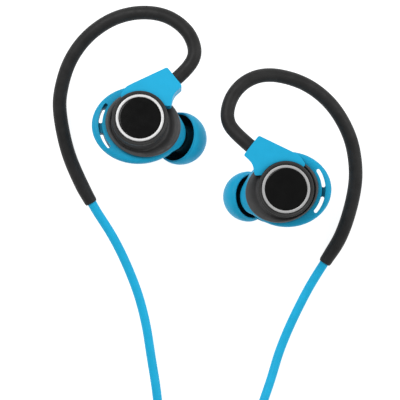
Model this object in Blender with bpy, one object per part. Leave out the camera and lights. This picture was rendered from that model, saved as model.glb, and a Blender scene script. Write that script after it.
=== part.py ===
"""Sport earphones on a neck cord: two over-ear hooks with silicone tips and fins, one thin cord
that passes behind the neck, and a control pod on it. They lie on a table, caps up.

All sizes below are in millimetres; the meshes are made in metres. Each earphone is modelled in
an ear frame: +X towards the ear tip, +Y up the ear, +Z out of the cap's face, origin in the
middle of that face. The right earphone is the left one's mirror image.
"""
import math

import bmesh
import bpy
from mathutils import Matrix, Vector

MM = 0.001
GAP = 0.3                      # between two pieces that touch

# --- Earphone: cap, shell, nozzle -------------------------------------------------------------
CAP_RADIUS = 7.0
CAP_HEIGHT = 3.1
RING_OUTER, RING_INNER = 6.1, 5.3
BADGE_DEPTH = 0.9
FLANGE = (1.0, -0.1, 9.1, 8.4)         # the shell's flared rim: centre x, y, half width, half height
FLANGE_UNDER = -6.1            # its underside, below the cap's face
NOZZLE_RADIUS, NOZZLE_BORE = 2.3, 1.5
TIP_CENTRE = Vector((8.6, -1.55, -12.85))
TIP_AXIS = Vector((0.66, -0.03, -0.75)).normalized()
TIP_RADIUS, TIP_LENGTH = 6.3, 7.8
TIP_BORE, TIP_STEM = 2.6, 3.4
NOZZLE_BASE, NOZZLE_END = -1.2, 5.2    # along the tip's axis from its centre

# --- Ear fin: silicone sleeve and wing --------------------------------------------------------
WING = (0.0, 0.0, 11.45, 9.45)         # outline of the wing: centre x, y, half width, half height
SLEEVE = (4.5, -2.0, 7.0, 7.0)         # outline of the sleeve below the rim, round the nozzle
WING_TOP, WING_UNDER = -6.5, -9.3
SLOT_RING = (0.0, 0.0, 9.45, 8.9)
SLOT_WIDTH = 0.9
UPPER_SLOT, LOWER_SLOT = (149, 174), (195, 218)   # degrees round the wing, from +X

# --- Arm and hook -----------------------------------------------------------------------------
ARM_TOP, ARM_UNDER = -1.6, -6.2
HOOK_RADIUS, HOOK_BORE = 1.7, 0.95
HOOK_MOUTH = Vector((9.05, 10.85, -3.9))          # middle of the arm's end face
HOOK_IN_ARM = 2.6
WIRE_RADIUS, LEAD_RADIUS = 0.25, 0.35

# --- Neck cord, coil and pod ------------------------------------------------------------------
CORD_RADIUS = 1.1
COIL_CENTRE = (-26.4, -87.0)
COIL_INNER, COIL_OUTER, COIL_HEIGHT = 8.9, 15.5, 4.5
POD_CENTRE = (13.1, -92.0)
POD_LENGTH, POD_WIDTH, POD_WALL = 36.0, 9.4, 1.0
POD_BASE_TOP, POD_TOP = 3.9, 7.2
POD_AXIS_HEIGHT = 3.4          # of the cord where it enters the pod
BUTTON_SPACING, BUTTON_RADIUS, BUTTON_PROUD = 8.5, 2.4, 0.6
SOCKET_Y = -100.0
PORT_LENGTH, PORT_HEIGHT, PORT_COVER = 7.2, 2.3, 0.8
RELIEF_LENGTH = 5.0

# Place of each earphone on the table: cap centre, tilt about X in degrees, mirror
LEFT = {"side": "left", "cap": (-17.0, 4.5, 19.35), "tilt": -13.0, "mirror": 1}
RIGHT = {"side": "right", "cap": (19.45, -13.3, 20.06), "tilt": 0.0, "mirror": -1}

# Middle line of each hook on the table, from past the arm's mouth to the tail (x, y)
TAIL_HEIGHT = 1.75
HOOK_ROUTES = {
    "left": [(-4.1, 18.35), (-3.3, 21.1), (-5.0, 25.7), (-9.85, 29.55), (-16.2, 30.75),
             (-23.35, 29.3), (-29.95, 24.8), (-34.5, 18.5), (-36.8, 10.8), (-37.0, 6.6),
             (-34.95, -3.75), (-31.6, -12.7), (-29.0, -16.8)],
    "right": [(5.3, 2.8), (4.8, 5.8), (5.9, 9.6), (8.2, 12.6), (11.5, 14.6),
              (16.0, 15.25), (24.05, 13.1), (30.75, 8.05), (35.6, -0.05), (37.15, -8.5),
              (36.5, -15.5), (33.35, -25.0), (29.15, -31.7)],
}
# Middle line of each run of cord that isn't coiled (x, y, z)
CORD_ROUTES = {
    "neck_cord_left": [(-28.93, -16.9, 1.7), (-28.0, -18.6, 1.45), (-25.9, -21.9, 1.15),
                       (-23.9, -25.3, 1.15), (-20.8, -31.4, 1.15), (-17.55, -39.75, 1.15),
                       (-15.55, -47.25, 1.15), (-14.2, -55.7, 1.15), (-13.05, -62.85, 1.15),
                       (-12.3, -70.0, 1.15), (-12.0, -78.4, 1.15)],
    "neck_cord_lead": [(-12.0, -95.6, 2.9), (-11.9, -101.0, 1.7), (-10.8, -108.0, 1.2),
                       (-6.5, -116.5, 1.15), (0.5, -121.8, 1.15), (7.5, -122.4, 1.4),
                       (11.9, -119.4, 2.7), (13.1, -115.9, 3.4)],
    "neck_cord_right": [(29.05, -31.8, 1.7), (27.3, -34.4, 1.35), (25.5, -37.3, 1.15),
                        (23.85, -40.3, 1.15), (20.55, -47.0, 1.15), (17.7, -53.9, 1.15),
                        (15.6, -61.2, 2.1), (13.3, -68.1, 3.4)],
}

# Colour, roughness and metallic value of each material
MATERIALS = {
    "blue_silicone": ((0.019, 0.30, 0.53), 0.45, 0.0),
    "blue_plastic": ((0.027, 0.44, 0.76), 0.40, 0.0),
    "blue_cord": ((0.030, 0.42, 0.68), 0.45, 0.0),
    "black_rubber": ((0.027, 0.027, 0.027), 0.55, 0.0),
    "dark_shell": ((0.035, 0.036, 0.038), 0.40, 0.0),
    "gloss_black": ((0.005, 0.005, 0.005), 0.12, 0.0),
    "silver": ((0.75, 0.75, 0.76), 0.30, 1.0),
    "steel": ((0.55, 0.55, 0.56), 0.35, 1.0),
    "copper": ((0.70, 0.32, 0.18), 0.35, 1.0),
    "board_green": ((0.02, 0.16, 0.07), 0.45, 0.0),
    "battery_foil": ((0.55, 0.57, 0.60), 0.35, 0.8),
    "led_lens": ((0.75, 0.85, 0.95), 0.15, 0.0),
}


def clear_scene():
    for obj in list(bpy.data.objects):
        bpy.data.objects.remove(obj, do_unlink=True)


def material(name):
    """The named material, made once."""
    found = bpy.data.materials.get(name)
    if found:
        return found
    colour, roughness, metallic = MATERIALS[name]
    made = bpy.data.materials.new(name)
    made.use_nodes = True
    shader = made.node_tree.nodes["Principled BSDF"]
    shader.inputs["Base Color"].default_value = (*colour, 1.0)
    shader.inputs["Roughness"].default_value = roughness
    shader.inputs["Metallic"].default_value = metallic
    return made


def add_object(name, mesh_in_mm, material_name=None, parent=None, place=None):
    """Makes an object of a bmesh drawn in millimetres. place is its own matrix, in millimetres."""
    bmesh.ops.recalc_face_normals(mesh_in_mm, faces=mesh_in_mm.faces)
    bmesh.ops.scale(mesh_in_mm, vec=(MM, MM, MM), verts=mesh_in_mm.verts)
    mesh = bpy.data.meshes.new(name)
    mesh_in_mm.to_mesh(mesh)
    mesh_in_mm.free()
    mesh.shade_smooth()
    mesh.set_sharp_from_angle(angle=math.radians(38))
    obj = bpy.data.objects.new(name, mesh)
    bpy.context.scene.collection.objects.link(obj)
    if material_name:
        mesh.materials.append(material(material_name))
    if place is not None:
        matrix = place.copy()
        matrix.translation *= MM
        obj.matrix_basis = matrix
    obj.parent = parent
    return obj


def as_cutter(obj):
    obj.hide_render = True
    obj.display_type = "WIRE"
    return obj


def cut(obj, cutter, operation="DIFFERENCE"):
    modifier = obj.modifiers.new(cutter.name, "BOOLEAN")
    modifier.operation = operation
    modifier.object = cutter


def bevel(obj, width, segments=2, angle=40):
    modifier = obj.modifiers.new("rounded edges", "BEVEL")
    modifier.width = width * MM
    modifier.segments = segments
    modifier.limit_method = "ANGLE"
    modifier.angle_limit = math.radians(angle)


def loft(rings, closed=False):
    """A skin over rings of equal point count. closed joins the last ring to the first, like a
    tyre; otherwise the two ends are capped."""
    bm = bmesh.new()
    made = [[bm.verts.new(point) for point in ring] for ring in rings]
    pairs = list(zip(made, made[1:]))
    if closed:
        pairs.append((made[-1], made[0]))
    for lower, upper in pairs:
        for i in range(len(lower)):
            j = (i + 1) % len(lower)
            bm.faces.new((lower[i], lower[j], upper[j], upper[i]))
    if not closed:
        bm.faces.new(made[0])
        bm.faces.new(made[-1])
    return bm


def turned(profile, segments=32, closed=False):
    """Turns a profile of (radius, height) about Z. closed keeps the middle open, like a washer."""
    rings = []
    for radius, height in profile:
        angles = [2 * math.pi * i / segments for i in range(segments)]
        rings.append([(radius * math.cos(a), radius * math.sin(a), height) for a in angles])
    return loft(rings, closed)


def ellipse_ring(outline, height, segments=32, grow=0.0):
    """Points of an ellipse (centre x, y, half width, half height) at one height."""
    x, y, a, b = outline
    angles = [2 * math.pi * i / segments for i in range(segments)]
    return [Vector((x + (a + grow) * math.cos(t), y + (b + grow) * math.sin(t), height))
            for t in angles]


def tilted_ring(centre, axis, radius, segments=32):
    """A circle square to axis, its points in step with ellipse_ring's."""
    across = (Vector((1, 0, 0)) - axis * axis.x).normalized()
    if axis.z < 0:
        side = (-axis).cross(across)
    else:
        side = axis.cross(across)
    angles = [2 * math.pi * i / segments for i in range(segments)]
    return [centre + radius * (across * math.cos(t) + side * math.sin(t)) for t in angles]


def smooth_curve(points, step):
    """Points about one step apart along a centripetal curve through the route's points."""
    knots = [Vector(p) for p in points]
    knots = [2 * knots[0] - knots[1]] + knots + [2 * knots[-1] - knots[-2]]
    line = []
    for p0, p1, p2, p3 in zip(knots, knots[1:], knots[2:], knots[3:]):
        count = max(1, round((p2 - p1).length / step))
        t1 = (p1 - p0).length ** 0.5
        t2 = t1 + (p2 - p1).length ** 0.5
        t3 = t2 + (p3 - p2).length ** 0.5
        for i in range(count):
            t = t1 + (t2 - t1) * i / count
            a1 = p0 + (p1 - p0) * (t / t1)
            a2 = p1 + (p2 - p1) * ((t - t1) / (t2 - t1))
            a3 = p2 + (p3 - p2) * ((t - t2) / (t3 - t2))
            b1 = a1 + (a2 - a1) * (t / t2)
            b2 = a2 + (a3 - a2) * ((t - t1) / (t3 - t1))
            line.append(b1 + (b2 - b1) * ((t - t1) / (t2 - t1)))
    line.append(knots[-2])
    return line


def tube_rings(line, radius, segments, offset=0.0):
    """Rings along a line, with no twist. offset shifts them sideways off the line."""
    rings = []
    across = None
    for i, point in enumerate(line):
        ahead = (line[min(i + 1, len(line) - 1)] - line[max(i - 1, 0)]).normalized()
        if across is None:
            across = ahead.cross(Vector((0, 0, 1))).normalized()
        across = (across - ahead * across.dot(ahead)).normalized()
        up = ahead.cross(across)
        size = radius(i / (len(line) - 1)) if callable(radius) else radius
        ring = []
        for k in range(segments):
            t = 2 * math.pi * k / segments
            ring.append(point + across * (offset + size * math.cos(t)) + up * size * math.sin(t))
        rings.append(ring)
    return rings


# --- Shell and fin outlines shared by several pieces ---------------------------------------------
SHELL_OUTER = [                # ellipses (centre x, y, half width, half height) and their height
    ((0.0, 0.0, 6.9, 6.9), -3.4),
    ((0.0, 0.0, 6.75, 6.75), -3.9),
    ((0.15, 0.0, 7.15, 7.0), -4.5),
    ((0.6, -0.05, 8.2, 7.7), -5.0),
    (FLANGE, -5.5),
    (FLANGE, FLANGE_UNDER + 0.2),
    ((1.0, -0.1, 8.7, 8.0), FLANGE_UNDER),
    ((1.2, -0.2, 7.6, 6.9), -6.3),
    ((2.6, -0.8, 7.0, 6.2), -8.4),
    ((4.4, -1.2, 5.1, 4.9), -10.0),
]
SHELL_INNER = [((4.2, -1.0, 3.6, 3.4), -9.2), ((2.4, -0.7, 5.7, 5.0), -7.6),
               ((0.9, 0.0, 6.0, 5.9), -5.6), ((0.0, 0.0, 5.9, 5.9), -3.4)]
FIN_ROOT = [SHELL_OUTER[-3], SHELL_OUTER[-2], SHELL_OUTER[-1]]
FIN_CENTRE = (2.0, -0.6)


def shell_envelope(name, parent):
    """The shell's outside, grown by the gap, to cut the arm that lies on it."""
    rings = [ellipse_ring(outline, height + GAP, grow=GAP) for outline, height in SHELL_OUTER[:5]]
    rings.append(ellipse_ring(FLANGE, WING_TOP - 1.0, grow=GAP))
    return as_cutter(add_object(name, loft(rings), parent=parent))


def rear_shell(name, parent):
    outer = [ellipse_ring(outline, height) for outline, height in SHELL_OUTER]
    for distance, radius in ((NOZZLE_BASE, NOZZLE_RADIUS + 0.2), (NOZZLE_BASE + 0.5, NOZZLE_RADIUS),
                             (NOZZLE_END, NOZZLE_RADIUS)):
        outer.append(tilted_ring(TIP_CENTRE + TIP_AXIS * distance, TIP_AXIS, radius))
    inner = [tilted_ring(TIP_CENTRE + TIP_AXIS * distance, TIP_AXIS, NOZZLE_BORE)
             for distance in (NOZZLE_END, NOZZLE_BASE - 2.0)]
    inner += [ellipse_ring(outline, height) for outline, height in SHELL_INNER]
    return add_object(name, loft(outer + inner, closed=True), "dark_shell", parent)


def outer_cap(name, parent):
    recess, wall = RING_OUTER + GAP, 0.9
    profile = [(recess, -1.2), (recess, -0.1), (recess + 0.2, 0.0), (CAP_RADIUS - 0.2, -0.05),
               (CAP_RADIUS, -0.4), (CAP_RADIUS, -CAP_HEIGHT), (CAP_RADIUS - wall, -CAP_HEIGHT),
               (CAP_RADIUS - wall, -2.0)]
    return add_object(name, turned(profile), "dark_shell", parent)


def trim_ring(name, parent):
    profile = [(RING_INNER, -BADGE_DEPTH), (RING_INNER, 0.0), (RING_INNER + 0.1, 0.1),
               (RING_OUTER - 0.1, 0.1), (RING_OUTER, 0.0), (RING_OUTER, -BADGE_DEPTH)]
    return add_object(name, turned(profile, closed=True), "silver", parent)


def badge(name, parent):
    radius = RING_INNER - GAP
    profile = [(radius, -BADGE_DEPTH), (radius, -0.1), (radius - 0.15, 0.0)]
    return add_object(name, turned(profile), "gloss_black", parent)


def driver(name, parent):
    profile = [(3.6, -6.3), (3.6, -5.0), (4.6, -4.8), (4.6, -4.2), (2.8, -4.0)]
    return add_object(name, turned(profile, 24), "copper", parent)


def along_tip(distance=0.0):
    """Matrix of a frame on the nozzle's axis: its Z is the way the tip points."""
    turn = TIP_AXIS.to_track_quat("Z", "Y").to_matrix().to_4x4()
    return Matrix.Translation(TIP_CENTRE + TIP_AXIS * distance) @ turn


def nozzle_mesh(name, parent):
    profile = [(NOZZLE_BORE - GAP, 0.0), (NOZZLE_BORE - GAP, 0.25)]
    return add_object(name, turned(profile, 16), "steel", parent, along_tip(NOZZLE_END - 0.6))


def ear_tip(name, parent):
    """A dome open at the back, on a stem that grips the nozzle."""
    outside = [(TIP_RADIUS - 0.55, -0.3), (TIP_RADIUS - 0.15, 0.1), (TIP_RADIUS, 1.0)]
    for degrees in (22, 38, 52, 64):
        angle = math.radians(degrees)
        outside.append((TIP_RADIUS * math.cos(angle), TIP_LENGTH * math.sin(angle)))
    bore = [(TIP_BORE, TIP_LENGTH - 0.5), (TIP_BORE, 0.3)]
    inside = [(TIP_STEM, 0.3), (TIP_STEM, 4.2), (4.2, 4.6), (5.0, 3.2), (5.5, 1.0), (5.2, -0.1)]
    return add_object(name, turned(outside + bore + inside, 28, closed=True), "blue_silicone",
                      parent, along_tip())


def reach(outline, angle):
    """Distance from the fin's centre to an ellipse, in one direction."""
    x, y, a, b = outline
    dx, dy = math.cos(angle) / a, math.sin(angle) / b
    ox, oy = (FIN_CENTRE[0] - x) / a, (FIN_CENTRE[1] - y) / b
    square, half = dx * dx + dy * dy, ox * dx + oy * dy
    return (math.sqrt(half * half - square * (ox * ox + oy * oy - 1)) - half) / square


def fade(value, start, end):
    """0 before start, 1 after end, smooth in between."""
    t = min(max((value - start) / (end - start), 0.0), 1.0)
    return t * t * (3 - 2 * t)


def ear_fin(name, parent, segments=40):
    """A sleeve round the shell, below its flange, whose far side spreads into a flat wing."""
    rings = []
    for i in range(segments):
        angle = 2 * math.pi * i / segments
        degrees = 360.0 * i / segments
        wing = fade(degrees, 75, 105) * (1 - fade(degrees, 305, 330))
        root = [(reach(outline, angle) + GAP, height) for outline, height in FIN_ROOT]
        edge, sleeve, rim = (reach(outline, angle) for outline in (WING, SLEEVE, FLANGE))
        lip = (root[2][0] + 0.9, -10.4)
        wing_side = [(root[1][0] + 1.2, -9.5), (edge - 0.8, WING_UNDER), (edge, -8.6),
                     (edge, -7.2), (edge - 0.8, WING_TOP), (rim - 0.5, WING_TOP)]
        tip_side = [(sleeve - 1.3, -10.2), (sleeve - 0.3, -9.7), (sleeve, -8.9),
                    (0.4 * rim + 0.6 * sleeve, -7.8), (rim + 0.05, -6.9), (rim - 0.4, WING_TOP)]
        blend = [(t[0] + wing * (w[0] - t[0]), t[1] + wing * (w[1] - t[1]))
                 for w, t in zip(wing_side, tip_side)]
        ring = [Vector((FIN_CENTRE[0] + r * math.cos(angle), FIN_CENTRE[1] + r * math.sin(angle), z))
                for r, z in root + [lip] + blend]
        rings.append(ring)
    fin = add_object(name, loft(rings, closed=True), "blue_silicone", parent)
    low, high = WING_UNDER - 1.5, WING_TOP + 1.0
    bridge = (UPPER_SLOT[1] - 4, LOWER_SLOT[0] + 4)
    for part, span, floor in (("upper_slot", UPPER_SLOT, low), ("lower_slot", LOWER_SLOT, low),
                              ("bridge", bridge, WING_TOP - 1.2)):
        cut(fin, slot_cutter(f"{name}_{part}", span, floor, high, parent))
    return fin


def slot_cutter(name, span, low, high, parent, steps=6):
    """A bent bar along the slot ring, between two angles."""
    x, y, a, b = SLOT_RING
    rings = []
    for i in range(steps + 1):
        t = math.radians(span[0] + (span[1] - span[0]) * i / steps)
        out = Vector((math.cos(t) / a, math.sin(t) / b, 0)).normalized() * SLOT_WIDTH / 2
        middle = Vector((x + a * math.cos(t), y + b * math.sin(t), 0))
        rings.append([middle + out + Vector((0, 0, low)), middle + out + Vector((0, 0, high)),
                      middle - out + Vector((0, 0, high)), middle - out + Vector((0, 0, low))])
    return as_cutter(add_object(name, loft(rings), parent=parent))


def hook_direction():
    return Vector((0.8, 0.6, 0.0))


def hook_arm(name, parent):
    """A flat arm between cap and shell. It wraps the cap and ends square to the hook."""
    concave = [(9.35, 7.35), (8.5, 6.0), (8.0, 4.6)]
    outline = [(6.9, 13.25), (10.5, 8.55), *concave, (7.6, 3.3), (6.0, 3.2), (-3.6, 4.9),
               (-5.0, 6.1), (-3.5, 8.3), (-2.2, 9.0)]
    rings = [[Vector((x, y, z)) for x, y in outline] for z in (ARM_UNDER, ARM_TOP)]
    arm = add_object(name, loft(rings), "blue_plastic", parent)
    bevel(arm, 0.35)
    cap_hole = turned([(CAP_RADIUS + GAP, ARM_UNDER - 1), (CAP_RADIUS + GAP, ARM_TOP + 1)])
    cut(arm, as_cutter(add_object(f"{name}_cap_hole", cap_hole, parent=parent)))
    cut(arm, shell_envelope(f"{name}_shell_seat", parent))
    bore = turned([(HOOK_RADIUS + GAP, -HOOK_IN_ARM - GAP), (HOOK_RADIUS + GAP, 2.0)], 16)
    turn = hook_direction().to_track_quat("Z", "Y").to_matrix().to_4x4()
    place = Matrix.Translation(HOOK_MOUTH) @ turn
    cut(arm, as_cutter(add_object(f"{name}_hook_bore", bore, parent=parent, place=place)))
    return arm


# --- Hook: tube, memory wire and lead, on the table ------------------------------------------------
def on_table(place, point):
    """A point of an ear frame, in millimetres on the table."""
    tilt = Matrix.Rotation(math.radians(place["tilt"]), 3, "X")
    return Vector(place["cap"]) + tilt @ Vector((place["mirror"] * point.x, point.y, point.z))


def hook_line(place, step=3.2):
    """From inside the arm, round the loop of the ear, down to the tail on the table."""
    start = on_table(place, HOOK_MOUTH - hook_direction() * HOOK_IN_ARM)
    mouth = on_table(place, HOOK_MOUTH)
    route = [start, mouth] + [Vector((x, y, 0)) for x, y in HOOK_ROUTES[place["side"]]]
    lengths = [0.0]
    for a, b in zip(route[1:], route[2:]):
        lengths.append(lengths[-1] + (b - a).xy.length)
    for point, length in zip(route[2:], lengths[1:]):
        left = 1 - length / lengths[-1]
        point.z = TAIL_HEIGHT + (mouth.z - TAIL_HEIGHT) * left ** 1.25
    return smooth_curve(route, step)


def hook_taper(fraction):
    """The tube narrows over the last of its length, where the cord leaves it."""
    return HOOK_RADIUS - 0.3 * fade(fraction, 0.93, 1.0)


def hook_pieces(place):
    side = place["side"]
    line = hook_line(place)
    outer = tube_rings(line, hook_taper, 10)
    inner = tube_rings(line, HOOK_BORE, 10)
    add_object(f"{side}_ear_hook", loft(outer + inner[::-1], closed=True), "black_rubber")
    inside = line[:-1]
    wire = tube_rings(inside, WIRE_RADIUS, 5, offset=0.42)
    add_object(f"{side}_memory_wire", loft(wire), "steel")
    lead = tube_rings(inside, LEAD_RADIUS, 5, offset=-0.38)
    add_object(f"{side}_hook_lead", loft(lead), "copper")


def earphone(place):
    side = place["side"]
    frame = bpy.data.objects.new(f"{side}_ear_frame", None)
    bpy.context.scene.collection.objects.link(frame)
    frame.location = Vector(place["cap"]) * MM
    frame.rotation_euler = (math.radians(place["tilt"]), 0, 0)
    frame.scale = (place["mirror"], 1, 1)
    for make in (badge, trim_ring, outer_cap, rear_shell, driver, nozzle_mesh, ear_tip, ear_fin,
                 hook_arm):
        make(f"{side}_{make.__name__}", frame)
    hook_pieces(place)


# --- Cord and coil ---------------------------------------------------------------------------------
def cord(name, route):
    """A run of cord as a curve with a round section and filled ends."""
    line = smooth_curve(route, 2.1 * 2 * CORD_RADIUS)
    curve = bpy.data.curves.new(name, "CURVE")
    curve.dimensions = "3D"
    curve.bevel_depth = CORD_RADIUS * MM
    curve.bevel_resolution = 2
    curve.use_fill_caps = True
    spline = curve.splines.new("POLY")
    spline.points.add(len(line) - 1)
    for point, place in zip(spline.points, line):
        point.co = (*(place * MM), 1.0)
    curve.materials.append(material("blue_cord"))
    obj = bpy.data.objects.new(name, curve)
    bpy.context.scene.collection.objects.link(obj)


def coil():
    """The outer shape of the stored turns, and the keeper that holds them."""
    edge = 0.8
    profile = [(COIL_INNER, edge), (COIL_INNER, COIL_HEIGHT - edge),
               (COIL_INNER + edge, COIL_HEIGHT), (COIL_OUTER - edge, COIL_HEIGHT),
               (COIL_OUTER, COIL_HEIGHT - edge), (COIL_OUTER, edge), (COIL_OUTER - edge, 0.0),
               (COIL_INNER + edge, 0.0)]
    place = Matrix.Translation((*COIL_CENTRE, 0))
    add_object("neck_cord_coil", turned(profile, 40, closed=True), "blue_cord", place=place)
    near, far, top, wall = COIL_INNER - GAP, COIL_OUTER + GAP, COIL_HEIGHT + GAP, 0.8
    section = [(near - wall, 0.4), (near - wall, top + wall), (far + wall, top + wall),
               (far + wall, 0.4), (far, 0.4), (far, top), (near, top), (near, 0.4)]
    rings = [[Vector((x, y, z)) for x, z in section] for y in (-2.0, 2.0)]
    turn = Matrix.Rotation(math.radians(205), 4, "Z")
    keeper = add_object("cord_keeper", loft(rings), "black_rubber", place=place @ turn)
    bevel(keeper, 0.25)


# --- Control pod -----------------------------------------------------------------------------------
def stadium(inset, height, corner=3.6, steps=4):
    """The pod's outline, rounded at its corners, drawn in by inset."""
    half_x, half_y = POD_WIDTH / 2 - inset, POD_LENGTH / 2 - inset
    radius = corner - inset * 0.8
    ring = []
    for quarter in range(4):
        middle = Vector(((half_x - radius) * (1, -1, -1, 1)[quarter],
                         (half_y - radius) * (1, 1, -1, -1)[quarter], height))
        for i in range(steps + 1):
            angle = math.radians(90 * quarter + 90 * i / steps)
            ring.append(middle + radius * Vector((math.cos(angle), math.sin(angle), 0)))
    return ring


def block(size, centre):
    bm = bmesh.new()
    bmesh.ops.create_cube(bm, size=1.0)
    bmesh.ops.scale(bm, vec=size, verts=bm.verts)
    bmesh.ops.translate(bm, vec=centre, verts=bm.verts)
    return bm


def hole(name, radius, low, high, place):
    bm = turned([(radius, low), (radius, high)], 20)
    return as_cutter(add_object(name, bm, place=place))


def pod_shells(place):
    base = loft([stadium(0.7, 0.0), stadium(0.0, 0.7), stadium(0.0, POD_BASE_TOP),
                 stadium(POD_WALL, POD_BASE_TOP), stadium(POD_WALL, POD_WALL)])
    base = add_object("pod_base", base, "black_rubber", place=place)
    low = POD_BASE_TOP + GAP
    cover = loft([stadium(1.5, POD_TOP), stadium(0.4, POD_TOP - 0.35), stadium(0.0, POD_TOP - 1.1),
                  stadium(0.0, low), stadium(POD_WALL, low), stadium(POD_WALL, POD_TOP - POD_WALL)])
    cover = add_object("pod_cover", cover, "black_rubber", place=place)
    along = Matrix.Rotation(math.radians(-90), 4, "X")
    for end in (-1, 1):
        at = place @ Matrix.Translation((0, end * POD_LENGTH / 2, POD_AXIS_HEIGHT)) @ along
        outlet = hole(f"pod_outlet_{end}", 1.3, -2.0, 2.0, at)
        cut(base, outlet)
        cut(cover, outlet)
        add_relief(end, place)
    port = block((4.0, PORT_LENGTH, PORT_HEIGHT), (POD_WIDTH / 2, SOCKET_Y - POD_CENTRE[1], 2.3))
    cut(base, as_cutter(add_object("port_cut", port, place=place)))
    return cover


def add_relief(end, place):
    """A tapered sleeve where the cord enters one end of the pod."""
    profile = [(2.3, 0.0), (2.3, 0.8), (1.5, RELIEF_LENGTH)]
    turn = Matrix.Rotation(math.radians(-90 * end), 4, "X")
    at = Matrix.Translation((0, end * (POD_LENGTH / 2 + GAP), POD_AXIS_HEIGHT)) @ turn
    name = "pod_relief_right" if end > 0 else "pod_relief_left"
    add_object(name, turned(profile, 16), "black_rubber", place=place @ at)


def pod_insides(place):
    length = POD_LENGTH - 2 * POD_WALL - 2 * GAP - 1.0
    width = POD_WIDTH - 2 * POD_WALL - 2 * GAP
    board_low, board_high = 4.2, 4.8
    board = add_object("pod_circuit_board", block((width, length - 2.0, board_high - board_low),
                       (0, 0, (board_low + board_high) / 2)), "board_green", place=place)
    for i in (-1, 0, 1):
        at = place @ Matrix.Translation((0, i * BUTTON_SPACING, 0))
        cut(board, hole(f"switch_{i}", 1.2, board_high - 0.2, board_high + 0.3, at), "UNION")
    battery = block((width - 0.4, 17.0, 2.3), (0, 6.5, POD_WALL + GAP + 1.15))
    battery = add_object("pod_battery", battery, "battery_foil", place=place)
    bevel(battery, 0.4)
    depth = 5.0
    outer = block((depth, PORT_LENGTH - 2 * GAP, PORT_HEIGHT - 2 * GAP + 0.3),
                  (POD_WIDTH / 2 - depth / 2 - 0.1, SOCKET_Y - POD_CENTRE[1], 2.3))
    socket = add_object("charge_socket", outer, "steel", place=place)
    pocket = block((depth, PORT_LENGTH - 1.4, PORT_HEIGHT - 1.0),
                   (POD_WIDTH / 2 - depth / 2 + 0.8, SOCKET_Y - POD_CENTRE[1], 2.3))
    cut(socket, as_cutter(add_object("socket_pocket", pocket, place=place)))


def pod_buttons(place, cover):
    names = ("volume_up_button", "play_button", "volume_down_button")
    for i, name in zip((1, 0, -1), names):
        at = place @ Matrix.Translation((0, i * BUTTON_SPACING, 0))
        flange = BUTTON_RADIUS + GAP + 0.3
        profile = [(flange, 5.45), (flange, 5.8), (BUTTON_RADIUS, 5.8),
                   (BUTTON_RADIUS, POD_TOP + BUTTON_PROUD - 0.25),
                   (BUTTON_RADIUS - 0.3, POD_TOP + BUTTON_PROUD)]
        add_object(name, turned(profile, 24), "blue_silicone", place=at)
        cut(cover, hole(f"{name}_hole", BUTTON_RADIUS + GAP, 5.0, POD_TOP + 1.0, at))
    light_at = place @ Matrix.Translation((0, 14.2, 0))
    cut(cover, hole("light_hole", 0.9, 5.0, POD_TOP + 1.0, light_at))
    light = turned([(0.6, 5.3), (0.6, POD_TOP - 0.1), (0.4, POD_TOP)], 12)
    add_object("status_light", light, "led_lens", place=light_at)
    mic_at = place @ Matrix.Translation((0, -14.2, 0))
    cut(cover, hole("microphone_hole", 0.45, 5.0, POD_TOP + 1.0, mic_at))
    microphone = turned([(1.1, 5.1), (1.1, 5.9)], 16)
    add_object("microphone", microphone, "steel", place=mic_at)


def port_cover(place):
    """A flap on the pod's side, hinged at its end nearer the middle of the pod."""
    hinge_y = SOCKET_Y - POD_CENTRE[1] + PORT_LENGTH / 2 + 0.6
    hinge = place @ Matrix.Translation((POD_WIDTH / 2 + GAP + PORT_COVER / 2, hinge_y, 2.3))
    length = PORT_LENGTH + 1.6
    flap = block((PORT_COVER, length, PORT_HEIGHT + 0.6), (0, -length / 2 + 0.4, 0))
    bevel(add_object("port_cover", flap, "black_rubber", place=hinge), 0.25)


def pod():
    place = Matrix.Translation((*POD_CENTRE, 0))
    cover = pod_shells(place)
    pod_insides(place)
    pod_buttons(place, cover)
    port_cover(place)


clear_scene()
earphone(LEFT)
earphone(RIGHT)
for cord_name, cord_route in CORD_ROUTES.items():
    cord(cord_name, cord_route)
coil()
pod()
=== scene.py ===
"""Looks of the sport earphones: silicone fins and tips, moulded shells, rubber hooks, the neck
cord with its stored turns, and the control pod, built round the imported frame.

Sizes are in millimetres in the ear frame of part.py (+X towards the ear tip, +Y up the ear,
+Z out of the cap's face) and are made in metres. The right earphone mirrors the left one.
"""
import math

import bmesh
import bpy
from mathutils import Matrix, Vector


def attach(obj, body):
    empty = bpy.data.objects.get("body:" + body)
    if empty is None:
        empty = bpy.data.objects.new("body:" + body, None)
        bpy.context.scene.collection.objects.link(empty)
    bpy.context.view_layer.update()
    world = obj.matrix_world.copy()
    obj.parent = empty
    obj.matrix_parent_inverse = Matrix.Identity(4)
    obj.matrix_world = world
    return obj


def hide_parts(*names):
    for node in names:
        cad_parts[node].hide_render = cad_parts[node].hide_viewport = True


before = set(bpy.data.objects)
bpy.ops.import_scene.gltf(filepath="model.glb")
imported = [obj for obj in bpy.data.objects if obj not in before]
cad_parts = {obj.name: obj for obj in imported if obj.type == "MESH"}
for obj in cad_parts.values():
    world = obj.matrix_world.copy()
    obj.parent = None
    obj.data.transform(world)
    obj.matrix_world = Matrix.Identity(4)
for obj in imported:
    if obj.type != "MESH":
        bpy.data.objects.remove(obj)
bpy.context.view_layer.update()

MM = 0.001
BODY = "earphones"

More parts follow.
